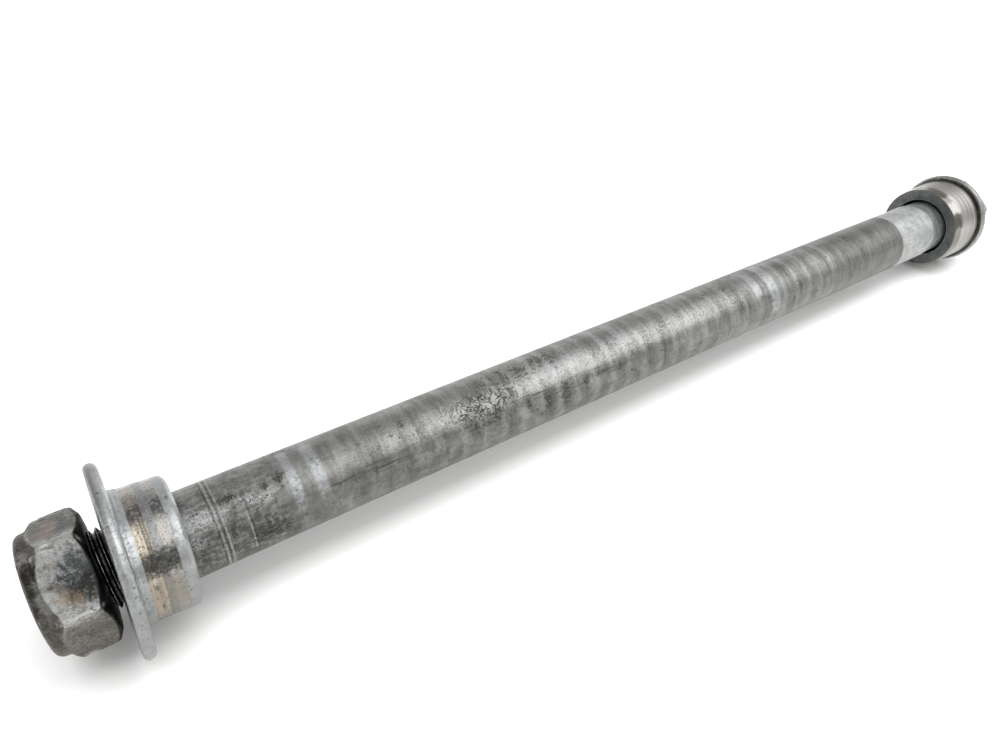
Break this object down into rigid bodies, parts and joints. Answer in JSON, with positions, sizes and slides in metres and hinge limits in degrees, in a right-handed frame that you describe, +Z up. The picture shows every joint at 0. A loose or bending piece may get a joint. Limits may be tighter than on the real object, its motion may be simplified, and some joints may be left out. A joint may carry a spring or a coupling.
{
  "type": "rear wheel axle",
  "caption": "Rear wheel axle: a long steel shaft with a hexagon head and washer, hub collars and a self-locking nut on its fine-threaded end.",
  "frame": {"origin": "bottom centre of the bounding box, on the surface that the axle lies on", "axes": "+X along the shaft from the nut towards the head, +Z up; the shaft leans 0.85 degrees down towards the head"},
  "size_m": [0.3364, 0.0436, 0.0433],
  "materials": {
    "worn_steel": "dull worn steel, grey-brown stains and lighter rubbed bands",
    "dark_iron": "dark scuffed steel with tan rust at the edges",
    "spring_steel": "dark spring steel",
    "scuffed_zinc": "grey zinc plating, scuffed and rusted",
    "polished_steel": "smooth rubbed steel",
    "stained_zinc": "brown-stained zinc plating"
  },
  "bodies": {
    "axle": {"axle": "worn_steel", "washer": "stained_zinc"},
    "flanged_collar": {"flanged_collar": "scuffed_zinc"},
    "plain_collar": {"plain_collar": "polished_steel"},
    "nut_carrier": {"locking_ring": "spring_steel"},
    "axle_nut": {"axle_nut": "dark_iron"}
  },
  "joints": [
    {"name": "flanged_collar_slide", "type": "slide", "parent": "axle", "child": "flanged_collar", "axis": [0.9999, 0, -0.0148], "range_m": [-0.0009, 0.14]},
    {"name": "plain_collar_slide", "type": "slide", "parent": "axle", "child": "plain_collar", "axis": [0.9999, 0, -0.0148], "range_m": [-0.14, 0]},
    {"name": "nut_travel", "type": "slide", "parent": "axle", "child": "nut_carrier", "axis": [0.9999, 0, -0.0148], "range_m": [-0.0136, 0]},
    {"name": "nut_turn", "type": "hinge", "parent": "nut_carrier", "child": "axle_nut", "pos_m": [-0.15483, 0, 0.02111], "axis": [0.9999, 0, -0.0148], "range_deg": [-3240, 0]}
  ],
  "couplings": [
    {"joint": "nut_travel", "follows": "nut_turn", "m_per_rad": 0.00023873}
  ]
}
